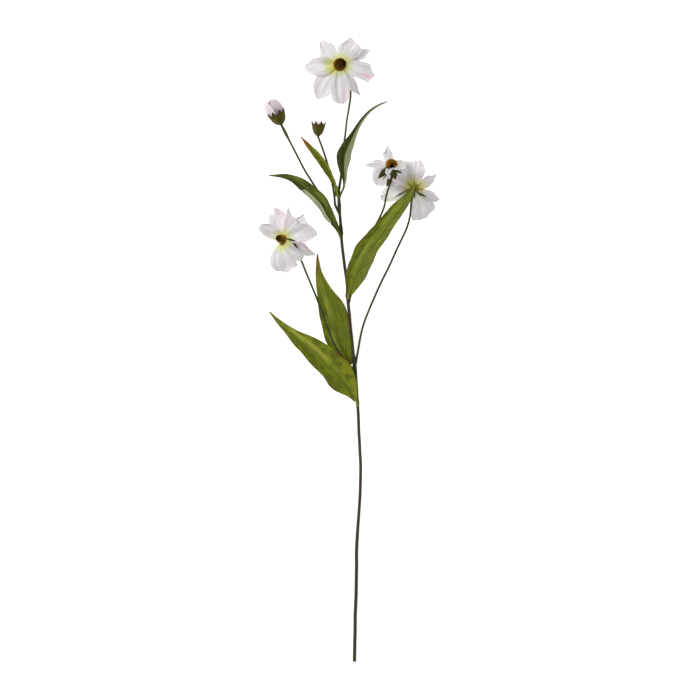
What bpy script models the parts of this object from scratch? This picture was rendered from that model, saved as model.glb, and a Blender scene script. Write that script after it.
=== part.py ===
"""A cut spray of white cosmos lying on its side on a table.

One wiry main stem carries six lance-shaped leaves, four open flowers, one large bud and one small bud.
Every leaf, stem, petal, disc and calyx is a solid of its own. Lengths are in millimetres until a mesh is made.
The spray lies along +Y with its cut end towards -Y, and +Z points away from the table.
"""
import bpy
import bmesh
from math import cos, sin, radians, pi
from mathutils import Matrix, Vector

MM = 0.001

# driving dimensions, in millimetres
MAIN_RADIUS_CUT = 2.1
MAIN_RADIUS_MID = 1.9
MAIN_RADIUS_TOP = 1.25
SIDE_RADIUS = 1.2
PETAL_THICK = 0.6
LEAF_THICK = 0.8
PETAL_ROOT = 4.3
UPPER_LAYER = 0.0
LOWER_LAYER = -1.5
PEG_RADIUS = 3.5
PETAL_ROWS = 9
PETAL_COLUMNS = 4
LEAF_ROWS = 14
LEAF_COLUMNS = 4
PETAL_PROFILE = [0.21, 0.42, 0.65, 0.84, 0.96, 1.0, 0.97, 0.87, 0.68, 0.38]

# each flower: its centre, the way its stem points and the way its petals' faces turn
TOP_FLOWER = ((-11.5, 365.5, 25), (-0.26, 0.24, 0.93), (-0.1, 0.1, 1.0))
LEFT_FLOWER = ((-84.5, 141.5, 18), (-0.68, 0.3, 0.67), (-0.2, 0.1, 1.0))
UPPER_RIGHT_FLOWER = ((54.5, 236.5, 40), (-0.1, 0.93, 0.35), (0.0, 0.4, 0.9))
RIGHT_FLOWER = ((84, 207, 23), (0.08, 0.2, -0.97), (0.0, 0.0, -1.0))
STEM_GAP = 8.35

# colour, roughness
PETAL_WHITE = ((0.83, 0.80, 0.80), 0.6)
DISC_BROWN = ((0.16, 0.07, 0.015), 0.8)
CALYX_GREEN = ((0.06, 0.075, 0.015), 0.6)
STEM_GREEN = ((0.045, 0.06, 0.025), 0.55)
LEAF_GREEN = ((0.17, 0.22, 0.03), 0.5)
BUD_GREEN = ((0.09, 0.10, 0.02), 0.6)


def clear_scene():
    for thing in list(bpy.data.objects):
        bpy.data.objects.remove(thing, do_unlink=True)


def make_object(name, verts, faces, look):
    mesh = bpy.data.meshes.new(name)
    mesh.from_pydata([v * MM for v in verts], [], faces)
    mesh.update()
    thing = bpy.data.objects.new(name, mesh)
    bpy.context.collection.objects.link(thing)
    bm = bmesh.new()
    bm.from_mesh(mesh)
    bmesh.ops.remove_doubles(bm, verts=bm.verts, dist=0.000001)
    bmesh.ops.recalc_face_normals(bm, faces=bm.faces)
    bm.to_mesh(mesh)
    bm.free()
    mesh.shade_smooth()
    material = bpy.data.materials.new(name + "_material")
    material.use_nodes = True
    shader = material.node_tree.nodes["Principled BSDF"]
    colour, roughness = look
    shader.inputs["Base Color"].default_value = (*colour, 1.0)
    shader.inputs["Roughness"].default_value = roughness
    shader.inputs["Metallic"].default_value = 0.0
    mesh.materials.append(material)
    return thing


def spline(values, t):
    """Catmull-Rom through equally spaced values, with t from 0 to 1."""
    last = len(values) - 1
    where = min(max(t, 0.0), 1.0) * last
    i = min(int(where), last - 1)
    f = where - i
    b = values[i]
    c = values[i + 1]
    a = values[i - 1] if i > 0 else b * 2 - c
    d = values[i + 2] if i + 2 <= last else c * 2 - b
    return (b * 2 + (c - a) * f + (a * 2 - b * 5 + c * 4 - d) * f * f + (b * 3 - a - c * 3 + d) * f ** 3) * 0.5


def even_path(points, count):
    """count + 1 positions evenly spaced by length along a smooth path, as spline parameters."""
    fine = [spline(points, k / 200) for k in range(201)]
    lengths = [0.0]
    for a, b in zip(fine, fine[1:]):
        lengths.append(lengths[-1] + (b - a).length)
    params = []
    k = 0
    for i in range(count + 1):
        target = lengths[-1] * i / count
        while k < 199 and lengths[k + 1] < target:
            k += 1
        span = max(lengths[k + 1] - lengths[k], 1e-9)
        params.append((k + (target - lengths[k]) / span) / 200)
    return params


def frame_from(axis):
    """Two directions square to the axis and to each other."""
    axis = axis.normalized()
    helper = Vector((0, 0, 1)) if abs(axis.z) < 0.8 else Vector((0, 1, 0))
    side = helper.cross(axis).normalized()
    return side, axis.cross(side).normalized()


def ring_solid(name, rings, look):
    """A closed skin over rings of equal count, with both end rings closed by a fan."""
    count = len(rings[0])
    verts = [v for ring in rings for v in ring]
    faces = []
    for r in range(len(rings) - 1):
        for k in range(count):
            n = (k + 1) % count
            faces.append((r * count + k, r * count + n, (r + 1) * count + n, (r + 1) * count + k))
    for r in (0, len(rings) - 1):
        middle = Vector((0, 0, 0))
        for v in rings[r]:
            middle += v / count
        verts.append(middle)
        pole = len(verts) - 1
        for k in range(count):
            faces.append((r * count + k, r * count + (k + 1) % count, pole))
    return make_object(name, verts, faces, look)


def tube(name, points, radii, look, rows, sides, tail=()):
    """A round stem swept along a smooth path, with its radius following the given values.

    The tail is a short straight run of further points, at the last radius, that enters the back of a flower.
    """
    points = [Vector(p) for p in points]
    params = even_path(points + list(tail[:1]), rows)
    centres = [spline(points + list(tail[:1]), t) for t in params] + list(tail[1:])
    params += [1.0] * len(tail[1:])
    rings = []
    side = None
    for i, centre in enumerate(centres):
        before = centres[max(i - 1, 0)]
        after = centres[min(i + 1, len(centres) - 1)]
        along = (after - before).normalized()
        if side is None:
            side, _ = frame_from(along)
        side = (side - along * side.dot(along)).normalized()
        up = along.cross(side)
        radius = spline(radii, params[i])
        turn = [2 * pi * k / sides for k in range(sides)]
        rings.append([centre + (side * cos(a) + up * sin(a)) * radius for a in turn])
    return ring_solid(name, rings, look)


def turned(name, centre, axis, profile, sides, look):
    """A round solid turned about an axis from (radius, height) pairs, closed at both ends."""
    side, up = frame_from(axis)
    axis = axis.normalized()
    rings = []
    for radius, height in profile:
        ring = []
        for k in range(sides):
            a = 2 * pi * k / sides
            ring.append(centre + axis * height + (side * cos(a) + up * sin(a)) * radius)
        rings.append(ring)
    return ring_solid(name, rings, look)


def sheet_solid(name, grid, thick, look):
    """A thin closed solid whose upper face is the grid of points and whose lower face lies one thickness under it."""
    rows = len(grid)
    columns = len(grid[0])
    verts = []
    for i in range(rows):
        for j in range(columns):
            m = min(max(i, 1), rows - 2)
            along = grid[m + 1][j] - grid[m - 1][j]
            across = grid[m][min(j + 1, columns - 1)] - grid[m][max(j - 1, 0)]
            normal = across.cross(along).normalized()
            verts.append(grid[i][j])
            verts.append(grid[i][j] - normal * thick)
    faces = []

    def at(i, j, under):
        return (i * columns + j) * 2 + under

    for i in range(rows - 1):
        for j in range(columns - 1):
            faces.append((at(i, j, 0), at(i, j + 1, 0), at(i + 1, j + 1, 0), at(i + 1, j, 0)))
            faces.append((at(i, j, 1), at(i + 1, j, 1), at(i + 1, j + 1, 1), at(i, j + 1, 1)))
    edge = [(0, j) for j in range(columns)]
    edge += [(i, columns - 1) for i in range(1, rows)]
    edge += [(rows - 1, j) for j in range(columns - 2, -1, -1)]
    edge += [(i, 0) for i in range(rows - 2, 0, -1)]
    for k, (i, j) in enumerate(edge):
        m, n = edge[(k + 1) % len(edge)]
        faces.append((at(i, j, 0), at(i, j, 1), at(m, n, 1), at(m, n, 0)))
    return make_object(name, verts, faces, look)


def leaf(name, stations):
    """A lance-shaped leaf. Each station is a midrib point, the reach to the left and right, a roll and a fold."""
    spine = [Vector(s[0:3]) for s in stations]
    left = [s[3] for s in stations]
    right = [s[4] for s in stations]
    roll = [s[5] for s in stations]
    fold = [s[6] for s in stations]
    params = even_path(spine, LEAF_ROWS)
    grid = []
    for t in params:
        centre = spline(spine, t)
        along = (spline(spine, min(t + 0.01, 1)) - spline(spine, max(t - 0.01, 0))).normalized()
        side = along.cross(Vector((0, 0, 1))).normalized()
        side = Matrix.Rotation(radians(spline(roll, t)), 3, along) @ side
        up = side.cross(along)
        row = []
        for j in range(LEAF_COLUMNS + 1):
            v = 2 * j / LEAF_COLUMNS - 1
            reach = max(spline(right, t), 0.35) if v > 0 else max(spline(left, t), 0.35)
            row.append(centre + side * v * reach + up * spline(fold, t) * v * v)
        grid.append(row)
    return sheet_solid(name, grid, LEAF_THICK, LEAF_GREEN)


def petal(name, centre, axis, face, layer, shape):
    """One ray petal from the flower's centre to its tip, with a width, a bow, a cup and a roll.

    It leaves the centre square to the flower's axis and turns towards the face direction along its length.
    """
    tip, width, bow, cup, roll = shape
    tip = centre + Vector(tip)
    outward = tip - centre
    outward = (outward - axis * outward.dot(axis)).normalized()
    base = centre + outward * PETAL_ROOT + axis * layer
    reach = (tip - base).length
    first = base + outward * reach * 0.3
    second = first.lerp(tip, 0.5) + axis * bow
    grid = []
    for i in range(PETAL_ROWS + 1):
        t = i / PETAL_ROWS
        s = 1 - t
        point = base * s ** 3 + first * 3 * s * s * t + second * 3 * s * t * t + tip * t ** 3
        along = (first - base) * s * s + (second - first) * 2 * s * t + (tip - second) * t * t
        along.normalize()
        side = along.cross(axis.lerp(face, min(1.0, 1.6 * t))).normalized()
        side = Matrix.Rotation(radians(roll) * t, 3, along) @ side
        up = side.cross(along)
        half = width / 2 * PETAL_PROFILE[i]
        row = []
        for j in range(PETAL_COLUMNS + 1):
            v = 2 * j / PETAL_COLUMNS - 1
            rise = cup * v * v * min(1.0, 2 * t)
            trim = (0.05 * reach * v * v) if i == PETAL_ROWS else 0.0
            row.append(point + side * v * half + up * rise - along * trim)
        grid.append(row)
    return sheet_solid(name, grid, PETAL_THICK, PETAL_WHITE)


def bud_petal(name, centre, axis, turn, inset, profile, half):
    """One petal of a closed bud, wrapped round the bud's axis."""
    side, up = frame_from(axis)
    axis = axis.normalized()
    grid = []
    for i in range(PETAL_ROWS):
        t = i / (PETAL_ROWS - 1)
        radius = spline([p[0] for p in profile], t) - inset
        height = spline([p[1] for p in profile], t)
        spread = radians(spline(half, t))
        row = []
        for j in range(PETAL_COLUMNS + 1):
            a = radians(turn) + spread * (1 - 2 * j / PETAL_COLUMNS)
            row.append(centre + axis * height + (side * cos(a) + up * sin(a)) * radius)
        grid.append(row)
    return sheet_solid(name, grid, PETAL_THICK, PETAL_WHITE)


def calyx(name, centre, axis, sepals, first_turn):
    """A receptacle with a ring of narrow sepals. Each sepal is a reach from the axis and a rise along it."""
    side, up = frame_from(axis)
    axis = axis.normalized()
    step = 2 * pi / len(sepals)
    columns = []
    for k, (reach, rise) in enumerate(sepals):
        for part, share in ((0.0, 0.0), (0.27, 0.42), (0.5, 1.0), (0.73, 0.42)):
            angle = radians(first_turn) + step * (k + part - 0.5)
            columns.append((angle, share, reach, rise))
    rings = []
    for radius, height in ((1.5, -8.0), (2.0, -7.4), (4.4, -4.4)):
        rings.append([(radius, height, a) for a, _, _, _ in columns])
    for out, drop in ((0.45, -0.75), (1.0, -0.3), (0.45, 0.0)):
        ring = []
        for a, share, reach, rise in columns:
            grown = out * share
            ring.append((4.9 + (reach - 4.9) * grown, -2.6 + rise * grown + drop, a))
        rings.append(ring)
    rings.append([(2.0, -2.6, a) for a, _, _, _ in columns])
    solid = []
    for ring in rings:
        solid.append([centre + axis * h + (side * cos(a) + up * sin(a)) * r for r, h, a in ring])
    return ring_solid(name, solid, CALYX_GREEN)


def toothed_cup(name, centre, axis, radius, depth, teeth, tooth):
    """The green cup under a bud, open at the top, with pointed teeth round its rim."""
    side, up = frame_from(axis)
    axis = axis.normalized()
    count = teeth * 4
    shares = (0.0, 0.55, 1.0, 0.55)
    rings = []
    outside = ((0.16, 0.0), (0.30, 0.02), (0.72, 0.3), (0.97, 0.68))
    for r, h in outside:
        rings.append([(r * radius, h * depth)] * count)
    rings.append([(radius * (1.0 + 0.02 * shares[k % 4]), depth + tooth * shares[k % 4]) for k in range(count)])
    rings.append([(radius * 0.9 - 0.1, (depth - 0.6) + tooth * 0.8 * shares[k % 4]) for k in range(count)])
    for r, h in ((0.86, 0.68), (0.60, 0.36), (0.2, 0.2)):
        rings.append([(r * radius, h * depth)] * count)
    solid = []
    for ring in rings:
        placed = []
        for k, (r, h) in enumerate(ring):
            a = 2 * pi * k / count
            placed.append(centre + axis * h + (side * cos(a) + up * sin(a)) * r)
        solid.append(placed)
    return ring_solid(name, solid, BUD_GREEN)


def disc(name, centre, axis, radius, height):
    """The domed centre of a flower with the peg that the petals stand round."""
    profile = [
        (PEG_RADIUS * 0.6, -2.2),
        (PEG_RADIUS, -2.0),
        (PEG_RADIUS, 0.5),
        (radius * 0.86, 0.7),
        (radius, 0.7 + height * 0.3),
        (radius * 0.94, 0.7 + height * 0.62),
        (radius * 0.68, 0.7 + height * 0.9),
        (radius * 0.3, 0.7 + height),
    ]
    return turned(name, centre, axis, profile, 14, DISC_BROWN)


def flower(name, place, disc_size, petals, sepals, first_turn):
    centre, axis, face = [Vector(v) for v in place]
    axis.normalize()
    face.normalize()
    disc(name + "_disc", centre, axis, *disc_size)
    calyx(name + "_calyx", centre, axis, sepals, first_turn)
    for k, shape in enumerate(petals):
        layer = UPPER_LAYER if k % 2 == 0 else LOWER_LAYER
        petal(f"{name}_petal_{k + 1}", centre, axis, face, layer, shape)


def into(place):
    """The last straight run of a stem, into the back of a flower."""
    centre, axis = Vector(place[0]), Vector(place[1]).normalized()
    return [centre - axis * (STEM_GAP + run) for run in (6.0, 4.0, 2.0, 0.0)]


def build_stems():
    main = [
        (7, -400, 2.4), (8, -345, 2.7), (9.5, -290, 3.4), (10, -245, 4.4), (13, -205, 5.6), (15, -155, 7.2),
        (13, -110, 9), (11, -66, 11), (8, -28, 13), (4, 10, 15), (0, 52, 17.5), (-3, 89, 20), (-8, 128, 22.5),
        (-11, 166, 25), (-13, 200, 26), (-10, 224, 25), (-8, 250, 23), (-5, 275, 20), (-2, 300, 16.5),
        (2, 324, 12.5), (1.5, 342, 9), (-3, 355, 8),
    ]
    radii = [MAIN_RADIUS_CUT] * 4 + [MAIN_RADIUS_MID] * 9 + [1.8, 1.7, 1.5] + [MAIN_RADIUS_TOP] * 7
    tube("main_stem", main, radii, STEM_GREEN, 42, 10, into(TOP_FLOWER))
    side = [SIDE_RADIUS * 1.15, SIDE_RADIUS, SIDE_RADIUS, SIDE_RADIUS]
    tube("left_flower_stem", [
        (4.6, -26, 13), (-5, -13, 15), (-16, 3, 17.5), (-27, 28, 18), (-36, 53, 18), (-44, 74, 17), (-54, 98, 14),
        (-60, 113, 10), (-67, 127, 7),
    ], side, STEM_GREEN, 18, 8, into(LEFT_FLOWER))
    tube("upper_right_flower_stem", [
        (2.1, 72, 18.5), (8, 97, 17), (17, 124, 17.5), (27, 148, 20), (38, 168, 25), (45, 184, 31), (47.5, 198, 35.5),
        (51, 210, 36),
    ], side, STEM_GREEN, 16, 8, into(UPPER_RIGHT_FLOWER))
    tube("right_flower_stem", [
        (9.8, -10, 14), (17, 28, 15), (28, 58, 17), (41, 87, 20), (54, 114, 23), (66, 140, 26), (75, 160, 29),
        (78.5, 177, 33), (80, 192, 37.5),
    ], side, STEM_GREEN, 18, 8, into(RIGHT_FLOWER))
    tube("large_bud_stem", [
        (-14.4, 154, 24), (-22, 173, 23), (-34, 195, 23), (-46, 214, 24), (-56, 230, 26), (-68, 253, 28),
        (-79, 274, 29.5), (-85.8, 287.4, 30),
    ], side, STEM_GREEN, 14, 8)
    tube("small_bud_stem", [
        (-17.2, 186, 25.5), (-19, 200, 24.5), (-22.5, 219, 24.5), (-27.5, 239, 25.5), (-33, 256, 27),
        (-39, 272.6, 28),
    ], side, STEM_GREEN, 12, 8)


def build_leaves():
    leaf("top_leaf", [
        (-10.4, 200, 29.5, 1.4, 1.4, 0, 0), (-5.5, 214, 32.5, 1.5, 1.7, 5, 0), (-7, 231, 35, 5.5, 5.5, 15, 1.5),
        (-7, 249, 37, 9, 9, 25, 3), (0, 266, 38, 6.6, 6.8, 25, 2.4), (8, 281, 38, 3.6, 3.8, 20, 1.2),
        (17, 295, 37, 2.3, 2.3, 10, 0.6), (28, 307, 35.5, 1.6, 1.6, 0, 0.3), (40, 314.5, 34, 1.1, 1.1, 0, 0.1),
        (49, 318, 33, 0.5, 0.5, 0, 0),
    ])
    leaf("upper_narrow_leaf", [
        (-15.4, 197.5, 29, 1.7, 1.7, 0, 0), (-17.5, 210, 31, 2, 2, 0, 0), (-23.5, 223, 33, 4, 3.6, 0, 1),
        (-32, 237.5, 34, 5.2, 5, 0, 1.5), (-42, 250.5, 34, 5, 4.6, 0, 1.3), (-52, 262, 32.5, 3, 2.8, 0, 0.7),
        (-61, 273, 30.5, 0.5, 0.5, 0, 0),
    ])
    leaf("upper_left_leaf", [
        (-12.3, 149.5, 28.2, 1.5, 1.2, 0, 0), (-16.5, 159.5, 30.5, 3.6, 3.4, 0, 0.6),
        (-25.5, 173, 32.3, 6.8, 6.6, 0, 1.6), (-33, 188, 33.4, 8.2, 8, 0, 2.2), (-45, 200.8, 34, 8.4, 8, 0, 2.4),
        (-61, 213.5, 34, 7, 6.8, 0, 2), (-79, 222.3, 32.5, 3.6, 3.4, 0, 0.9), (-102, 224, 29, 0.5, 0.5, 0, 0),
    ])
    leaf("right_broad_leaf", [
        (-0.8, 70, 22.8, 1.6, 1.6, 0, 0), (5, 92, 27, 8.5, 8.5, 0, 1.8), (16, 116, 31, 12.5, 12.5, 0, 3),
        (31, 139, 34.5, 13.5, 13.2, 0, 3.4), (47, 160, 37, 12.2, 11.4, 0, 3), (62, 180, 41, 9.4, 8.6, 0, 2.2),
        (75, 196, 43.5, 6.2, 5.6, 0, 1.2), (83.5, 211, 44, 0.6, 0.6, 0, 0),
    ])
    leaf("lower_narrow_leaf", [
        (3.2, -21, 10, 1.2, 1.2, 0, 0), (-7, -5, 9.5, 7, 8, 0, 0.8), (-15.5, 14, 9.5, 13, 13, 0, 1.4),
        (-20.5, 36, 10, 14.5, 17.5, 0, 1.6), (-24, 54, 10.5, 14.5, 17, 0, 2), (-31, 75, 11, 10, 10, 0, 1.6),
        (-38, 98, 11.5, 4.6, 4.4, 0, 0.8), (-40.5, 124, 12, 0.6, 0.6, 0, 0),
    ])
    leaf("lower_left_leaf", [
        (10.4, -67, 14.2, 1.6, 1.2, 0, 0), (1.5, -47.5, 16.8, 10.5, 10, 0, 1.6), (-13, -29.5, 19, 14.5, 14.5, 0, 2.8),
        (-29.5, -13.5, 21, 15.4, 15, 0, 3.2), (-46, 2, 22, 12.8, 12.6, 0, 2.8), (-66, 17, 22, 9, 8.8, 0, 2),
        (-86, 33.5, 21, 4, 4, 0, 0.8), (-101.5, 50, 19.5, 0.6, 0.6, 0, 0),
    ])


def build_flowers():
    # each petal: tip from the flower's centre, width, bow, cup, roll
    flower("top_flower", TOP_FLOWER, (7.9, 6.0), [
        ((14, 35, -1), 33, 2, 3, 0),
        ((38, 20, -2), 17, 1, 1, 0),
        ((44, -12, 1), 27, 2, 1.5, 10),
        ((26, -39, -6), 18, 1, 1, 0),
        ((4, -50, 1), 23, 1.5, 3, 9),
        ((-29, -43, -12.5), 25, 1, 2, 0),
        ((-45, -4, -9), 24, 2, 2, 0),
        ((-23, 32, -13), 30, 2, 1.5, 0),
    ], [(13, -1.5)] * 8, 0)
    flower("left_flower", LEFT_FLOWER, (5.7, 10.0), [
        ((-30, 19.5, -3.5), 17, 6, 2, 0),
        ((-11, 39.5, -15), 26, -0.5, 2, 25),
        ((8, 42, 0), 17, 2, 1.5, 0),
        ((27, 32, 6), 17, -1, 0.5, -16),
        ((43, 8.5, 7), 24, 6, 3, -15),
        ((41, -18, -2), 16, 5, 1.5, 15),
        ((26, -24, 6), 20, 6, 0.5, -12),
        ((0, -39, -15.5), 32, 4.5, 2, 0),
    ], [(11, -1.5)] * 8, 0)
    flower("upper_right_flower", UPPER_RIGHT_FLOWER, (7.3, 7.0), [
        ((-33, 0, 2), 9, 1, 1, 20),
        ((-16, -26, -17), 22, 2, 1, 15),
        ((-26, 5.5, -18), 9, 1, 1, 0),
        ((-5, 26, -24), 12, 0, 1, 0),
        ((17, -6, -20), 12, 2, 1.5, -10),
        ((25, -1, 2.5), 13, 0, 2, 3),
        ((19, -5, 10), 11, 2, 1, 10),
        ((-3, -14, 12), 8, 0, 1, 0),
    ], [(17, -12), (8, -3), (11, -10), (12, -5), (9, -3), (9, -3), (9, -3), (5.6, -0.5)], 38)
    flower("right_flower", RIGHT_FLOWER, (6.6, 6.0), [
        ((3, 37, -15.5), 23, 3, 1, -22),
        ((-15, 35, -14), 17, 0, 1, 0),
        ((-24, 12, -9), 12, 0, 1, 0),
        ((-44, -11, -15), 16, -1, 1, 0),
        ((-21, -22, -12), 12, -1, 1, 0),
        ((11, -39, -16.5), 33, -1.5, 0.5, -4),
        ((31, -14, -12), 14, -1, 1, 0),
        ((30, 20, -9), 12, -1, 1, 0),
    ], [(13, -1.5)] * 8, 0)


def build_buds():
    large_axis = Vector((-0.4, 0.9, 0.1)).normalized()
    large = Vector((-86.2, 288.6, 30.0)) + large_axis * 0.3
    toothed_cup("large_bud_calyx", large, large_axis, 11.3, 14, 8, 5.5)
    shell = [(4.0, 7), (6.8, 11), (9.1, 17), (9.7, 23), (8.1, 29), (4.8, 34)]
    for k in range(4):
        inset = 0.0 if k % 2 == 0 else 1.3
        bud_petal(f"large_bud_petal_{k + 1}", large, large_axis, 90 * k, inset, shell, [34, 50, 54, 52, 40, 14])
    small_axis = Vector((0.05, 0.98, 0.1)).normalized()
    small = Vector((-39.6, 273.9, 28.2)) + small_axis * 0.3
    toothed_cup("small_bud_calyx", small, small_axis, 9.0, 15, 8, 4)
    turned("small_bud_petals", small, small_axis, [(2.2, 6.5), (5.0, 9.5), (7.0, 13.5), (6.0, 16.5), (2.4, 18.2)], 12,
           PETAL_WHITE)


def rest_on_table():
    """Move everything so that the spray is centred over the origin and its lowest point is at height 0."""
    points = [v.co for thing in bpy.data.objects for v in thing.data.vertices]
    low = Vector([min(p[k] for p in points) for k in range(3)])
    high = Vector([max(p[k] for p in points) for k in range(3)])
    shift = Vector((-(low.x + high.x) / 2, -(low.y + high.y) / 2, -low.z))
    for thing in bpy.data.objects:
        thing.data.transform(Matrix.Translation(shift))


clear_scene()
build_stems()
build_leaves()
build_flowers()
build_buds()
rest_on_table()
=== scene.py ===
"""The finished looks of a cut spray of white cosmos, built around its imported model.

Every stem, leaf, petal, disc, calyx and bud is remodelled from the points of its own CAD node, so it stays in that
node's place. Lengths are in metres, and MM turns millimetres into them.
"""
from math import cos, pi, radians, sin

import bmesh
import bpy
import numpy as np
from numpy.linalg import norm
from mathutils import Matrix, Vector, kdtree, noise


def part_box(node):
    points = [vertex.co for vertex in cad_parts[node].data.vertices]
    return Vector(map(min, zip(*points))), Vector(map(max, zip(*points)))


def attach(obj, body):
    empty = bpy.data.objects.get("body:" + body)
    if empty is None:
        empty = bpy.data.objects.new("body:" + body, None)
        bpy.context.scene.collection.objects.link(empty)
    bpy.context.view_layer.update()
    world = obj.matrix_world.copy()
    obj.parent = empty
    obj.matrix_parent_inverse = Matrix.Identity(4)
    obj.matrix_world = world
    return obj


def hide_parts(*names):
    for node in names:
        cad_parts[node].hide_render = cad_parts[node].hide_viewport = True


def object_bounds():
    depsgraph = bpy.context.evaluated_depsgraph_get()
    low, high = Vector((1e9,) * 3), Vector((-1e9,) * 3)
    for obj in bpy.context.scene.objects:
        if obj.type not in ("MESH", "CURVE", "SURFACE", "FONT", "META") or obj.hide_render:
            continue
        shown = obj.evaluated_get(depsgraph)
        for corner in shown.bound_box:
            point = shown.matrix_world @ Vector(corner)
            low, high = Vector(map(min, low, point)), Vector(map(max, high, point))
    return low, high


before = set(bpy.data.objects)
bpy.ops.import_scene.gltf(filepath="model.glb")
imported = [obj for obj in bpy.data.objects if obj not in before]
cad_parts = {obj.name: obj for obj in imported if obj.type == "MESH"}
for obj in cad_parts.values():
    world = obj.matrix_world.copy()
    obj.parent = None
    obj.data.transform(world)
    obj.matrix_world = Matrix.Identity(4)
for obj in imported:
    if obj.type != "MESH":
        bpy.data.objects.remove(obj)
CAD_LOW, CAD_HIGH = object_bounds()
MM = 0.001

SIDE_STEMS = ["left_flower_stem", "upper_right_flower_stem", "right_flower_stem", "large_bud_stem", "small_bud_stem"]
BROWNED_ENDS = ["right_flower_stem", "small_bud_stem"]
# How many cells the CAD sheets have from root to tip and across, and how thick they are.
PETAL_CELLS, BUD_PETAL_CELLS, LEAF_CELLS = (9, 4), (8, 4), (14, 4)
PETAL_THICK, LEAF_THICK = 0.6 * MM, 0.8 * MM
# The finished sheets are thinner.
PETAL_SKIN, LEAF_SKIN, SEPAL_SKIN = 0.32 * MM, 0.38 * MM, 0.45 * MM
PEG_DEPTH = 2.2 * MM

# ---- small tools

def only(piece):
    """Selects one object alone."""
    bpy.ops.object.select_all(action="DESELECT")
    piece.select_set(True)
    bpy.context.view_layer.objects.active = piece


def closed(piece):
    """Merges a rolled-up skin's seam and poles, and turns its faces outwards."""
    only(piece)
    bpy.ops.object.mode_set(mode="EDIT")
    bpy.ops.mesh.select_all(action="SELECT")
    bpy.ops.mesh.remove_doubles(threshold=0.0005 * MM)
    bpy.ops.mesh.normals_make_consistent(inside=False)
    bpy.ops.object.mode_set(mode="OBJECT")
    return piece


def thickened(piece, skin, offset=-1):
    """Gives a sheet its thickness, behind its face unless offset says otherwise."""
    only(piece)
    solid = piece.modifiers.new("thickness", "SOLIDIFY")
    solid.thickness, solid.offset = skin, offset
    bpy.ops.object.modifier_apply(modifier=solid.name)


def joined(pieces):
    """Joins pieces into the first one."""
    only(pieces[0])
    for piece in pieces[1:]:
        piece.select_set(True)
    bpy.ops.object.join()
    return pieces[0]


def flat_grid(name, across, along):
    """A flat unit grid with a UV map, and where each of its points is, across and along, from 0 to 1."""
    bpy.ops.mesh.primitive_grid_add(x_subdivisions=across, y_subdivisions=along, size=1.0, calc_uvs=True)
    piece = bpy.context.active_object
    piece.name = piece.data.name = name
    flat = points_of(piece) + 0.5
    return piece, np.clip(flat[:, 0], 0, 1), np.clip(flat[:, 1], 0, 1)


def points_of(piece):
    places = np.empty(len(piece.data.vertices) * 3)
    piece.data.vertices.foreach_get("co", places)
    return places.reshape(-1, 3)


def place_points(piece, places):
    piece.data.vertices.foreach_set("co", np.ascontiguousarray(places, dtype=np.float32).ravel())
    piece.data.update()


def paint(piece, **shares):
    """Stores named numbers for the piece's material to read, each for every point or one for all of them."""
    for name, values in shares.items():
        layer = piece.data.attributes.get(name) or piece.data.attributes.new(name, "FLOAT", "POINT")
        values = np.broadcast_to(np.asarray(values, dtype=np.float32), (len(piece.data.vertices),))
        layer.data.foreach_set("value", np.ascontiguousarray(values))


def step(x, low, high):
    """A soft step from 0 at low to 1 at high."""
    t = np.clip((x - low) / (high - low), 0, 1)
    return t * t * (3 - 2 * t)


def bump(x, centre, width):
    """A soft bump of height 1."""
    return np.exp(-((x - centre) / width) ** 2)


def rough(x, y, seed):
    """Smooth noise from -1 to 1 at each pair of places."""
    return np.array([noise.noise(Vector((float(a), float(b), 7.3 * seed))) for a, b in zip(x, y)])


def spans(where, count):
    """For places from 0 to 1 along some values: the first of the four round each, and their Catmull-Rom shares."""
    spot = np.asarray(where, dtype=float) * (count - 1)
    first = np.clip(np.floor(spot).astype(int), 0, count - 2)
    f = spot - first
    return first, [(-f + 2 * f ** 2 - f ** 3) / 2, (2 - 5 * f ** 2 + 3 * f ** 3) / 2,
                   (f + 4 * f ** 2 - 3 * f ** 3) / 2, (f ** 3 - f ** 2) / 2]


def lengthened(values):
    """Values with one more at each end, straight on."""
    return np.concatenate([[2 * values[0] - values[1]], values, [2 * values[-1] - values[-2]]])


def cubic(values, where):
    """A smooth line through values, read at places from 0 to 1. A place past an end carries on straight."""
    values = np.asarray(values, dtype=float)
    first, shares = spans(where, len(values))
    padded = lengthened(values)
    shape = (-1,) + (1,) * (padded.ndim - 1)
    return sum(padded[first + k] * shares[k].reshape(shape) for k in range(4))


def on_sheet(grid, along, across):
    """Points on the smooth sheet through a grid of points, placed from 0 to 1. Past an edge it carries on straight."""
    inner = [np.clip(along, 0, 1), np.clip(across, 0, 1)]
    points = sheet_inside(grid, *inner)
    small = 0.03
    total = points.copy()
    for axis, asked in ((0, along), (1, across)):
        past = asked - inner[axis]
        back = list(inner)
        back[axis] = inner[axis] - np.sign(past) * small
        total += (points - sheet_inside(grid, *back)) * (np.abs(past) / small)[:, None]
    return total


def sheet_inside(grid, along, across):
    """Points on the sheet: a line across it at each place along it, then a place on each of those lines."""
    lines = lengthened(cubic(grid, along).swapaxes(0, 1))
    first, shares = spans(across, grid.shape[1])
    own = np.arange(len(along))
    return sum(lines[first + k, own] * shares[k][:, None] for k in range(4))


def unit(vectors):
    return vectors / np.maximum(norm(vectors, axis=-1, keepdims=True), 1e-12)


def sheet_normals(grid, along, across):
    """The way the sheet faces at each place."""
    small = 0.01
    lengthwise = on_sheet(grid, along + small, across) - on_sheet(grid, along - small, across)
    crosswise = on_sheet(grid, along, across + small) - on_sheet(grid, along, across - small)
    return unit(np.cross(crosswise, lengthwise))


# ---- reading the CAD nodes

def merged(node):
    """A node's mesh with its loose triangles joined."""
    mesh = bmesh.new()
    mesh.from_mesh(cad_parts[node].data)
    bmesh.ops.remove_doubles(mesh, verts=mesh.verts, dist=0.001 * MM)
    mesh.normal_update()
    return mesh


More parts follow.
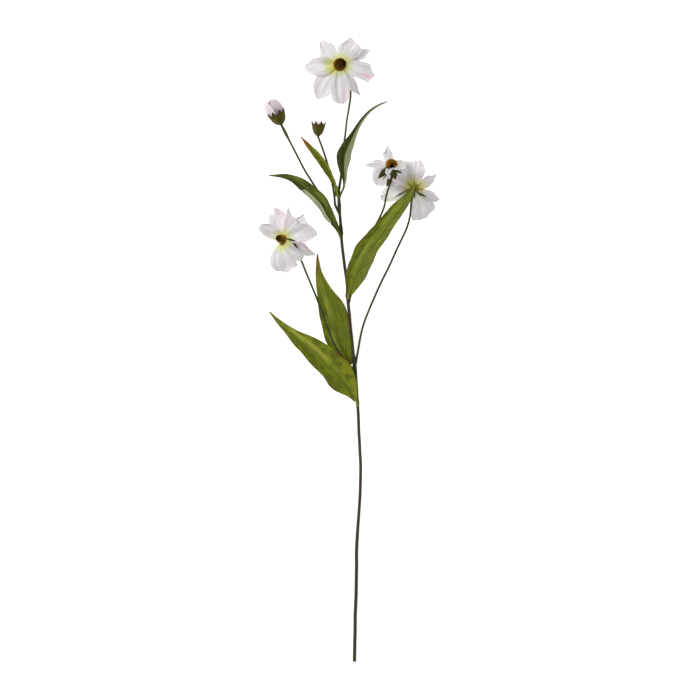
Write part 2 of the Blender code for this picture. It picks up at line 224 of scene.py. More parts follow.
def neighbours(vert):
    return [edge.other_vert(vert) for edge in vert.link_edges]


def sheet_sides(mesh, thick):
    """The two broad sides of a thin sheet, as lists of faces. Each point has a partner one thickness behind it."""
    tree = kdtree.KDTree(len(mesh.verts))
    for vert in mesh.verts:
        tree.insert(vert.co, vert.index)
    tree.balance()
    outward = {}
    for vert in mesh.verts:
        behind = [co for co, _, gap in tree.find_range(vert.co, 1.02 * thick) if gap > 0.98 * thick]
        partner = min(behind, key=lambda co: (co - vert.co).normalized().dot(vert.normal))
        outward[vert] = vert.co - partner
    found, left = [], list(mesh.verts)
    while left:
        same, waiting = {left[0]}, [left[0]]
        while waiting:
            vert = waiting.pop()
            for other in neighbours(vert):
                if other not in same and outward[other].dot(outward[vert]) > 0:
                    same.add(other)
                    waiting.append(other)
        found.append([f for f in mesh.faces if all(v in same for v in f.verts)])
        left = [v for v in left if v not in same]
    return sorted(found, key=len)[-2:]


def rim_loop(side):
    """The points round the edge of a side, in order."""
    inside = set(side)
    beside = {}
    for face in side:
        for edge in face.edges:
            if sum(f in inside for f in edge.link_faces) == 1:
                a, b = edge.verts
                beside.setdefault(a, []).append(b)
                beside.setdefault(b, []).append(a)
    loop, previous = [next(iter(beside))], None
    while len(loop) < len(beside):
        here = loop[-1]
        loop.append(beside[here][beside[here][0] is previous])
        previous = here
    return loop


def sheet_grid(node, cells, thick, roots, facing):
    """The points of a sheet's face, as rows from its root to its tip.

    The root is the end nearest any of the points in roots, and the face is the side turned towards facing there.
    """
    rows, columns = cells
    mesh = merged(node)
    sides = sheet_sides(mesh, thick)

    def to_root(vert):
        return min((vert.co - r).length for r in roots)

    def turned(side):
        near = sorted(side, key=lambda f: min(to_root(v) for v in f.verts))[:6]
        return sum((f.normal for f in near), Vector()).dot(facing)

    side = max(sides, key=turned)
    loop = rim_loop(side)
    count = len(loop)
    start = min(range(count), key=lambda k: sum(to_root(loop[(k + j) % count]) for j in range(columns + 1)))
    loop = loop[start:] + loop[:start]
    grid = [[None] * (columns + 1) for _ in range(rows + 1)]
    walk = [(0, j) for j in range(columns + 1)] + [(i, columns) for i in range(1, rows + 1)]
    walk += [(rows, j) for j in range(columns - 1, -1, -1)] + [(i, 0) for i in range(rows - 1, 0, -1)]
    for (i, j), vert in zip(walk, loop):
        grid[i][j] = vert
    # Inside the rim, the next point is the one beside both the point before it and the point above it.
    free = {v for face in side for v in face.verts} - set(loop)
    for i in range(1, rows):
        for j in range(1, columns):
            found = free.intersection(neighbours(grid[i][j - 1])).intersection(neighbours(grid[i - 1][j]))
            grid[i][j] = min(found, key=lambda v: v.index) if found else grid[i][j - 1]
            free.discard(grid[i][j])
    points = np.array([[v.co[:] for v in row] for row in grid])
    normal = sum((f.normal for f in side), Vector())
    mesh.free()
    middle = np.array([0.5])
    turned_over = Vector(sheet_normals(points, middle, middle)[0]).dot(normal) < 0
    return points[:, ::-1] if turned_over else points


def ring_points(node, start):
    """The rings of points of a turned or swept node, from the flat end nearest start to the other end."""
    mesh = merged(node)
    # Each flat end is a fan of triangles from one of its own points, which has more faces than any other point.
    ends = []
    for fan in sorted(mesh.verts, key=lambda v: (-len(v.link_faces), v.index))[:2]:
        groups = [[f for f in fan.link_faces if f.normal.dot(g.normal) > 0.9999] for g in fan.link_faces]
        cap = max(groups, key=len)
        ends.append(sorted({v for f in cap for v in f.verts}, key=lambda v: v.index))
    layer = min(ends, key=lambda end: (end[0].co - start).length)
    seen, rings = set(layer), []
    while layer:
        rings.append([v.co.copy() for v in layer])
        layer = list(dict.fromkeys(v for vert in layer for v in neighbours(vert) if v not in seen))
        seen.update(layer)
    mesh.free()
    return rings


def centre_of(points):
    return sum(points, Vector()) / len(points)


def box_centre(node):
    low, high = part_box(node)
    return (low + high) / 2


def centre_line(node, start):
    """The centres and radii of a stem's rings, from the end nearest start."""
    rings = ring_points(node, start)
    centres = [centre_of(ring) for ring in rings]
    radii = [sum((p - c).length for p in ring) / len(ring) for ring, c in zip(rings, centres)]
    return np.array([c[:] for c in centres]), np.array(radii)


def profile(rings, centre, axis):
    """The radius of each ring, and its height along an axis."""
    middles = [centre_of(ring) for ring in rings]
    return [((ring[0] - m).length, (m - centre).dot(axis)) for ring, m in zip(rings, middles)]


def flower_place(flower):
    """A flower's centre, the way it faces, and its disc's outline as pairs of radius and height."""
    rings = ring_points(flower + "_disc", box_centre(flower + "_calyx"))
    bottom, top = centre_of(rings[0]), centre_of(rings[-1])
    axis = (top - bottom).normalized()
    centre = bottom + axis * PEG_DEPTH
    return centre, axis, profile(rings, centre, axis)


# ---- materials

def colour(code):
    """An sRGB hex colour as linear light."""
    parts = [int(code[k:k + 2], 16) / 255 for k in (0, 2, 4)]
    return tuple(p / 12.92 if p <= 0.04045 else ((p + 0.055) / 1.055) ** 2.4 for p in parts) + (1.0,)


def feed(node, feeds):
    """Sets a node's inputs. Each feed is a value, or a socket to link from."""
    for key, value in feeds.items():
        if isinstance(value, bpy.types.NodeSocket):
            node.id_data.links.new(value, node.inputs[key])
        else:
            node.inputs[key].default_value = value


def add(tree, kind, feeds=None, **settings):
    """Adds a node with its settings and its feeds."""
    made = tree.nodes.new("ShaderNode" + kind)
    for key, value in settings.items():
        setattr(made, key, value)
    feed(made, feeds or {})
    return made


def blank(name):
    material = bpy.data.materials.new(name)
    material.use_nodes = True
    return material, material.node_tree, material.node_tree.nodes["Principled BSDF"]


def plant_material(name, patterns, base, layers, gloss, relief=None, glow=None):
    """A plant's surface: patterns of noise, and colours laid over a base where the patterns or painted numbers say.

    Each pattern is the coordinates it follows, its repeats in one unit of them, its detail and its roughness.
    Each layer is a colour and its shares, which multiply. A share is a painted name, or a pattern, the range it is
    read over and, where that isn't 0 and 1, what its two ends give. gloss is the roughness, the specular level and
    the IOR, relief a pattern, a strength and a depth in mm, and glow how much light comes through, how far each of
    its colours goes, and a scale in mm.
    """
    material, tree, shader = blank(name)
    place = add(tree, "TexCoord")
    noises = {}
    for pattern, (follows, repeats, detail, roughness) in patterns.items():
        scaled = add(tree, "Mapping", {"Vector": place.outputs[follows], "Scale": repeats})
        made = add(tree, "TexNoise", {"Vector": scaled.outputs[0], "Scale": 1.0, "Detail": detail,
                                      "Roughness": roughness})
        noises[pattern] = made.outputs[0]
    below = colour(base)
    for code, *shares in layers:
        total = None
        for share in shares:
            if isinstance(share, str):
                found = add(tree, "Attribute", attribute_name=share).outputs["Fac"]
            else:
                pattern, low, high, least, most = (*share, 0.0, 1.0)[:5]
                found = add(tree, "MapRange", {"Value": noises[pattern], "From Min": low, "From Max": high,
                                               "To Min": least, "To Max": most}).outputs[0]
            total = found if total is None else add(tree, "Math", {0: total, 1: found},
                                                    operation="MULTIPLY").outputs[0]
        # Inputs 6 and 7 of a colour Mix are its two colours, and output 2 is what it makes of them.
        below = add(tree, "Mix", {"Factor": total, 6: below, 7: colour(code)}, data_type="RGBA").outputs[2]
    roughness, level, ior = gloss
    feed(shader, {"Base Color": below, "Roughness": roughness, "Specular IOR Level": level, "IOR": ior})
    if relief:
        pattern, strength, depth = relief
        dent = add(tree, "Bump", {"Height": noises[pattern], "Strength": strength, "Distance": depth * MM})
        feed(shader, {"Normal": dent.outputs[0]})
    if glow:
        weight, reach, scale = glow
        feed(shader, {"Subsurface Weight": weight, "Subsurface Radius": reach, "Subsurface Scale": scale * MM})
    return material


# White cosmos petal: a thin moist ray floret. It gives a soft, slightly lilac white with fine lengthwise veins, a
# yellow-green flush at its root, a pink blush at some edges and light coming through it.
PETAL = plant_material(
    "white_cosmos_petal",
    # Veins run lengthwise about 1.6 mm apart on a petal 26 mm wide: 16 across, stretched along. Clouds are 14 mm.
    {"veins": ("UV", (16.0, 1.1, 1.0), 3.0, 0.6), "cloud": ("Object", (70.0,) * 3, 2.0, 0.5)},
    "edeaec", [("d9d1d8", ("veins", 0.42, 0.7)), ("dbd8d6", ("cloud", 0.45, 0.7, 0.0, 0.5)),
               ("d3d520", "flush", ("veins", 0.36, 0.66, 1.0, 0.45)), ("f8b4c8", "blush")],
    (0.6, 0.3, 1.4), ("veins", 0.35, 0.4), (0.35, (1.0, 0.9, 0.85), 2.0))


def leaf_material(name, blade, vein, shade, edge, tip):
    # Leaf: a waxy green blade. It gives light veins on a darker, mottled green, a rusty margin, a dry brown tip and a
    # pale grey-green back, with a soft waxy shine. Its shade colour is also painted shade, and its vein colour a
    # painted highlight.
    return plant_material(
        name,
        # Mottling from cells and bloom, drawn about 10 mm across so that it shows, and fine lengthwise fibres about
        # 1 mm apart on a leaf 25 mm wide.
        {"mottle": ("Object", (95.0,) * 3, 5.0, 0.5), "fibre": ("UV", (24.0, 3.0, 1.0), 2.0, 0.5)},
        blade, [(shade, ("mottle", 0.44, 0.57)), (shade, "shade"), (vein, ("fibre", 0.5, 0.75, 0.0, 0.35)),
                (vein, "vein"), ("c3c49c", "under"), (edge, "edge"), (tip, "tip")],
        (0.52, 0.22, 1.45), ("fibre", 0.4, 0.3), (0.1, (0.6, 1.0, 0.2), 1.0))


LEAF = leaf_material("waxy_green_leaf", "8b9316", "b4b84a", "646d0c", "7a3f1e", "9a6a2a")
# The same leaf in darker colours, painted shade, for the top leaf and the upper left one.
SHADED_LEAF = leaf_material("waxy_leaf_painted_shade", "5d670f", "88903a", "3d450a", "6a3a1c", "a0622a")
# Stem: a ridged, slightly waxy green stalk. It gives dark olive with purple-brown stretches and pale fine ridges.
STEM = plant_material(
    "ridged_green_stem",
    # Ridges about 1.3 mm apart round a stem of 4 mm: 9 round, long stretched. The purple comes in 11 mm patches.
    {"ridge": ("UV", (9.0, 5.0, 1.0), 3.0, 0.5), "patch": ("Object", (90.0,) * 3, 3.0, 0.5)},
    "2c3619", [("525d30", ("ridge", 0.4, 0.68)), ("4a2c2c", "purple", ("patch", 0.32, 0.55, 0.45, 1.0)),
               ("6f7a22", "young")],
    (0.5, 0.35, 1.45), ("ridge", 0.5, 0.3))
# Disc florets: hundreds of tiny tubular flowers. They give a velvety dome, golden-brown with pollen at the rim and
# near-black where they are still shut.
FLORET = plant_material(
    "tubular_disc_florets",
    # Pollen grains are far finer, and are drawn about 1 mm across so that they show.
    {"grain": ("Object", (900.0,) * 3, 2.0, 0.5)},
    "0c0502", [("dc9a26", "ripe"), ("e8b548", "pollen", ("grain", 0.35, 0.6)),
               ("3a1e06", ("grain", 0.55, 0.75, 0.0, 0.3))],
    (0.75, 0.08, 1.5))
# Calyx: leathery green bracts. They give dark olive with pale ribs and brown tips.
CALYX = plant_material(
    "leathery_green_calyx",
    # Ribs about 0.8 mm apart on a sepal 4 mm wide.
    {"rib": ("UV", (6.0, 2.0, 1.0), 3.0, 0.5)},
    "38330a", [("594f14", ("rib", 0.4, 0.68)), ("a9ab30", "pale"), ("4a2c16", "tip")],
    (0.55, 0.2, 1.45), ("rib", 0.5, 0.3))


def finished(piece, node, material):
    """Gives a piece its material and its place on the body, and hides the CAD node it stands for."""
    piece.data.materials.clear()
    piece.data.materials.append(material)
    piece.data.shade_smooth()
    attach(piece, "root")
    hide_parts(node)
    return piece


# ---- stems

def wrapped(name, sides, rows, place):
    """A round skin: a flat grid rolled up, with its seam and its two poles lying on each other, for closed to merge."""
    piece, turn, along = flat_grid(name, sides, rows)
    place_points(piece, place(along, 2 * pi * turn))
    return piece, turn, along


def round_frames(centres):
    """Two directions square to a path at each of its points, without twist."""
    along = unit(np.gradient(centres, axis=0))
    side = np.cross([0.0, 0.0, 1.0], along[0])
    if norm(side) < 0.1:
        side = np.cross([0.0, 1.0, 0.0], along[0])
    sides = []
    for tangent in along:
        side = unit(side - tangent * np.dot(side, tangent))
        sides.append(side)
    sides = np.array(sides)
    return sides, np.cross(along, sides)


FLUTES = 6
FLUTE_DEPTH = 0.06


def stalk(name, centres, radii, sides, rows, knobs=(), wander=0.0, seed=1):
    """A fluted stalk that wanders a little from its path, how far along it each point is, and its length.

    Each knob is a place along it, a height and a half width, all in metres.
    """
    fine = np.linspace(0, 1, rows + 1)
    path = cubic(centres, fine)
    reach = np.concatenate([[0], np.cumsum(norm(np.diff(path, axis=0), axis=1))])
    even = np.interp(np.linspace(0, reach[-1], rows + 1), reach, fine)
    path, radius = cubic(centres, even), cubic(radii, even)
    reach = np.linspace(0, reach[-1], rows + 1)
    sway = np.stack([rough(reach * 40, reach * 0, seed + k) for k in (0, 1, 2)], axis=1)
    path = path + sway * wander * np.minimum(1, np.minimum(reach, reach[-1] - reach) / (8 * MM))[:, None]
    for spot, height, half in knobs:
        radius = radius + height * bump(reach, spot, half)
    left, up = round_frames(path)

    def place(along, angle):
        k = np.clip(np.round(along * rows).astype(int), 0, rows)
        size = np.where((k == 0) | (k == rows), 0, radius[k] * (1 + FLUTE_DEPTH * np.cos(FLUTES * angle)))
        k = np.clip(k, 1, rows - 1)
        return path[k] + left[k] * (np.cos(angle) * size)[:, None] + up[k] * (np.sin(angle) * size)[:, None]

    piece, _, along = wrapped(name, sides, rows, place)
    return piece, along * reach[-1], reach[-1]


def nearest(path, point, before=0.0):
    """How far along a path its place nearest a point is, and the place some way before that."""
    fine = cubic(path, np.linspace(0, 1, 900))
    gaps = norm(fine - np.array(point[:]), axis=1)
    reach = np.concatenate([[0], np.cumsum(norm(np.diff(fine, axis=0), axis=1))])
    k = int(np.argmin(gaps))
    return reach[k], fine[int(np.argmin(np.abs(reach - reach[k] + before)))]


main_path, main_radii = centre_line("main_stem", Vector((0, CAD_LOW.y, 0)))
main_points = [Vector(p) for p in cubic(main_path, np.linspace(0, 1, 160))]


def root_of(node):
    """The CAD point of a side stem's end that is nearest the main stem."""
    path, _ = centre_line(node, box_centre("main_stem"))
    gaps = [min((Vector(p) - m).length for m in main_points) for p in (path[0], path[-1])]
    return path if gaps[0] <= gaps[1] else path[::-1]


side_paths = {node: root_of(node) for node in SIDE_STEMS}


def build_stems():
    # The stem is thicker where a side stem or a leaf leaves it.
    knobs = [(nearest(main_path, path[0])[0], 0.6 * MM, 6 * MM) for path in side_paths.values()]
    knobs += [(nearest(main_path, grid[0].mean(axis=0))[0], 0.5 * MM, 3 * MM) for grid in leaf_grids.values()]
    piece, reach, length = stalk("main_stem_fine", main_path, main_radii, 18, 420, knobs, 0.3 * MM, 3)
    # Two purple stretches, each from where it starts and fades in to where it fades out and ends, in mm.
    purple = [share * step(reach, a * MM, b * MM) * (1 - step(reach, c * MM, d * MM))
              for share, a, b, c, d in ((0.85, 408, 425, 505, 520), (0.8, 190, 200, 232, 245))]
    paint(piece, purple=sum(purple), young=0.25 * step(reach, 600 * MM, 760 * MM))
    finished(closed(piece), "main_stem", STEM)
    for k, node in enumerate(SIDE_STEMS):
        path = side_paths[node]
        _, start = nearest(main_path, path[0], 12 * MM)
        # The far end runs on 3 mm, into the calyx.
        onward = path[-1] + unit(path[-1] - path[-2]) * 3 * MM
        path = np.concatenate([[start], path, [onward]])
        radii = np.concatenate([[1.6, 1.45], np.linspace(1.32, 1.2, len(path) - 2)]) * MM
        neck = []
        if node == "large_bud_stem":
            # The stem swells below the heavy bud.
            neck = [(norm(np.diff(path, axis=0), axis=1).sum() - 12 * MM, 0.8 * MM, 9 * MM)]
        piece, reach, length = stalk(node + "_fine", path, radii, 14, 150, neck, 0.25 * MM, 11 + k)
        browned = 0.75 if node in BROWNED_ENDS else 0.0
        end = step(reach, length - 60 * MM, length - 35 * MM)
        paint(piece, purple=0.25 * (1 - step(reach, 5 * MM, 40 * MM)) + browned * end,
              young=0.22 * step(reach, length * 0.55, length * 0.95))
        finished(closed(piece), node, STEM)


# ---- leaves

AS_CAD = [1.0] * 6
VEIN_SPACING = 9 * MM
# The painted highlight's distance from the midrib, and its half width.
HIGHLIGHT_OFF, HIGHLIGHT_HALF = 3.4 * MM, 2.4 * MM

LEAF_LOOKS = {
    "top_leaf": dict(look=SHADED_LEAF, dim=0.2, bright=1, dry=(0.92, 0.99, 1), under=(1, 0.12, 0.06, 1.2),
         left=[1, 1.25, 1.5, 1.1, 1, 1]),
    "upper_narrow_leaf": dict(look=LEAF, dim=0.25, bright=1, dry=(0.74, 0.9, 0.95)),
    "upper_left_leaf": dict(look=SHADED_LEAF, dim=0.25, bright=1, dry=(0.9, 1, 0.6), under=(-1, 0.35, 0.12, 0.62)),
    "right_broad_leaf": dict(look=LEAF, dim=0.05, bright=-1, dry=(0.97, 1, 0.3), left=[1.1, 1.25, 1.1, 1, 1, 1],
         right=[1.9, 1.4, 1.03, 1, 1, 1]),
    "lower_narrow_leaf": dict(look=LEAF, dim=0.2, bright=-1, dry=(0.8, 0.97, 0.55), left=[1, 1.15, 1.1, 1.05, 1, 1],
         right=[2.4, 1.65, 1.25, 1, 1, 1]),
    "lower_left_leaf": dict(look=LEAF, dim=-0.25, bright=1, dry=(0.92, 1, 0.7), left=[0.8, 1.45, 1.15, 1.05, 1, 1],
         right=[0.6, 1.3, 1.25, 1.08, 1, 1]),
}
leaf_grids = {node: sheet_grid(node, LEAF_CELLS, LEAF_THICK, main_points, Vector((0, 0, 1))) for node in LEAF_LOOKS}


def build_leaf(node, seed, look, dim, bright, dry, left=AS_CAD, right=AS_CAD, under=None):
    """One leaf: a keeled blade with its midrib, side veins, uneven margins and a round rib beneath.

    left and right are its half widths from root to tip as shares of the CAD leaf's. dim darkens all of it with painted
    shade, and bright is the half that catches the light, which gets a painted highlight while the other half gets
    painted shade. dry is where its tip turns brown, and how much. under is the half, the line and the stretch where the
    margin is turned over and shows its pale back.
    """
    grid = leaf_grids[node]
    piece, across, along = flat_grid(node + "_fine", 44, 120)
    side = 2 * across - 1
    grown = 0.02 + 0.98 * along
    share = np.where(side < 0, cubic(left, grown), cubic(right, grown))
    edge_wave = 0.15 * rough(grown * 8, np.sign(side) * 3, seed) * np.abs(side) ** 4 * step(grown, 0.05, 0.2)
    spot = 0.5 + 0.5 * side * share * (1 + edge_wave)
    places_ = on_sheet(grid, grown, spot)
    normal = sheet_normals(grid, grown, np.clip(spot, 0, 1))
    width = norm(on_sheet(grid, grown, across * 0 + 1) - on_sheet(grid, grown, across * 0), axis=1)
    length = norm(np.diff(grid[:, 2], axis=0), axis=1).sum()
    off = side * share * width / 2
    reach = grown * length
    wide = step(width, 5 * MM, 14 * MM)
    # Side veins leave the midrib every 9 mm or so and run forwards as they go out to the margin.
    phase = (reach - np.abs(off) * 2.1) / VEIN_SPACING + 0.35 * rough(reach * 60, side * 2, seed + 1) + 0.3 * (side > 0)
    veins = bump(phase - np.round(phase), 0, 0.1) * step(np.abs(off), 0.5 * MM, 2 * MM) * step(width, 4 * MM, 10 * MM)
    midrib = bump(off, 0, 0.6 * MM)
    # The blade is keeled, with sunk veins, cushions between them, broad waves and a wavy margin.
    margin_wave = np.abs(side) ** 3 * rough(grown * 9, np.sign(side) * 5, seed + 9)
    waves = 0.1 * np.cos(2 * pi * phase) + 1.1 * rough(grown * 6, side * 1.4, seed + 5) + 1.4 * margin_wave
    lift = 0.16 * np.abs(off) + (waves * wide - 0.2 * veins - 0.5 * midrib) * MM
    turned_over = np.zeros_like(side)
    if under:
        half, line, first, last = under
        past = np.clip((side * half - line) / (1 - line), 0, 1) * step(grown, first, first + 0.1) * (
            1 - step(grown, last - 0.1, last))
        turned_over = step(past, 0.02, 0.08)
        # The crease stands up, and the turned margin falls away from it.
        lift = lift + (1.6 * bump(past, 0.06, 0.12) * turned_over - 1.2 * past) * MM
    place_points(piece, places_ + normal * lift[:, None])
    streaks = rough(grown * 5, side * 3.5, seed)
    # A painted highlight: a light strip beside the midrib, on the half that catches the light.
    patchy = step(rough(grown * 6, side * 0, seed + 7), -0.6, 0.25)
    painted_highlight = 0.75 * bump(off * bright, HIGHLIGHT_OFF, HIGHLIGHT_HALF) * patchy * wide
    # The veins and midrib, with the painted highlight laid on in the same lighter colour.
    vein = 0.7 * midrib + 0.25 * veins * (1 + rough(grown * 8, side * 2, seed + 4)) + painted_highlight
    # Painted shade: darker strips beside the midrib in the fold of the keel, the half turned from the light darker,
    # less of it under the painted highlight, and dim over the whole leaf. The random darker streaks along the blade are
    # its own tone.
    shade = 0.5 * bump(np.abs(off), 2.4 * MM, 1.6 * MM) + 0.55 * step(streaks, -0.1, 0.5)
    shade = shade + 0.45 * step(side * -bright, -0.05, 0.1) - 0.5 * painted_highlight + dim
    margin = step(np.abs(side), 0.9, 0.99) * (0.3 + 0.7 * step(rough(grown * 12, np.sign(side), seed + 2), -0.2, 0.3))
    paint(piece, vein=np.clip(vein, 0, 1), shade=np.clip(shade, 0, 1) * (1 - turned_over),
          edge=np.clip(margin, 0, 1) * 0.9, tip=dry[2] * step(grown + 0.02 * streaks, dry[0], dry[1]),
          under=0.85 * turned_over)
    thickened(piece, LEAF_SKIN)
    _, start = nearest(main_path, grid[0].mean(axis=0), 5 * MM)
    rib_at = np.linspace(0.0, 0.94, 24)
    beneath = on_sheet(grid, rib_at, rib_at * 0 + 0.5) - sheet_normals(grid, rib_at, rib_at * 0 + 0.5) * 0.75 * MM
    rib_path = np.concatenate([[start], beneath])
    rib_radii = np.concatenate([[1.5], np.linspace(1.25, 0.35, 24)]) * MM
    rib, _, _ = stalk(node + "_rib", rib_path, rib_radii, 10, 90)
    paint(rib, vein=0.3, shade=0.3, edge=0.0, tip=0.0, under=0.0)
    finished(joined([piece, closed(rib)]), node, look)


# ---- petals

# A petal's and a leaf's half widths are given at six places from root to tip, and how far its end stops short at
# seven places from its left edge to its right one.
HALF_WIDTHS = [0.21, 0.66, 0.95, 1.0, 0.88, 0.6]
ROUND = [0.16, 0.05, 0.01, 0.0, 0.01, 0.05, 0.16]


def build_petal(node, grid, centre, seed, left=HALF_WIDTHS, right=HALF_WIDTHS, tip=ROUND, pleat=0.5, ruffle=1.0,
                flush=19.0, flushed=0.9, blush=(), flare=0.0):
    """One petal, pleated along its veins and ruffled at its edges.

    left and right are its half widths from root to tip as shares of the CAD petal's. tip is how far each part of its
    end stops short, from left to right. pleat and ruffle are heights in mm. flush is how far the yellow-green reaches
    from the centre, in mm, and flushed its strength. Each blush is a place along, a place across, a reach and a
    strength. flare is how far its tip leans outwards.
    """
    piece, across, along = flat_grid(node + "_fine", 36, 48)
    side = 2 * across - 1
    width = norm(grid[len(grid) // 2, -1] - grid[len(grid) // 2, 0])
    own_left, own_right = [norm(grid[:, end] - grid[:, 2], axis=1) * 2 / width for end in (0, -1)]
    short = cubic(tip, across)
    grown = along * 1.01 - short * along ** 4
    asked = np.where(side < 0, cubic(left, along), cubic(right, along))
    held = np.where(side < 0, cubic(own_left, np.clip(grown, 0, 1)), cubic(own_right, np.clip(grown, 0, 1)))
    wobble = 1 + 0.05 * rough(along * 6, np.sign(side) * 2, seed) * side ** 2
    spot = 0.5 + 0.5 * side * asked / np.maximum(held, 0.05) * wobble
    normal = sheet_normals(grid, np.clip(grown, 0, 1), np.clip(spot, 0, 1))
    swell = step(along, 0.05, 0.5)
    shift = 0.15 * noise.noise(Vector((seed * 1.7, 0.3, 0.1)))
    folds = 0.7 * np.cos(pi * 3 * (side - shift)) + 0.3 * np.cos(pi * 7.3 * side + seed)
    # Pleats, then ruffles along its two edges, across its whole width and at its tip.
    edges = 2.0 * np.abs(side) ** 3 * rough(along * 4.5, np.sign(side) * 4, seed + 3) * swell
    ruffles = (edges + 2.2 * rough(along * 2.2, side * 1.3, seed + 6) * swell
               + 1.4 * step(along, 0.75, 1.0) * rough(side * 2.4, side * 0, seed + 8))
    lift = (pleat * folds * swell + ruffle * ruffles) * MM + flare * along ** 2
    shaped = on_sheet(grid, grown, spot) + normal * lift[:, None]
    # A petal rests on the table and doesn't go under it.
    shaped[:, 2] = np.maximum(shaped[:, 2], PETAL_SKIN)
    place_points(piece, shaped)
    away = norm(points_of(piece) - np.array(centre[:]), axis=1)
    reach = flush * MM * (1 + 0.3 * rough(side * 5, side * 0, seed + 1))
    pink = np.zeros_like(side)
    for t, s, size, strength in blush:
        pink = np.maximum(pink, strength * np.exp(-(((along - t) / size) ** 2 + ((side - s) / (size * 1.2)) ** 2)))
    paint(piece, flush=flushed * (1 - step(away, reach * 0.45, reach * 1.1)), blush=pink)
    thickened(piece, PETAL_SKIN)
    return finished(piece, node, PETAL)


POINTED = [0.34, 0.22, 0.1, 0.0, 0.1, 0.22, 0.34]
SQUARE = [0.04, 0.0, 0.03, 0.01, 0.03, 0.0, 0.04]
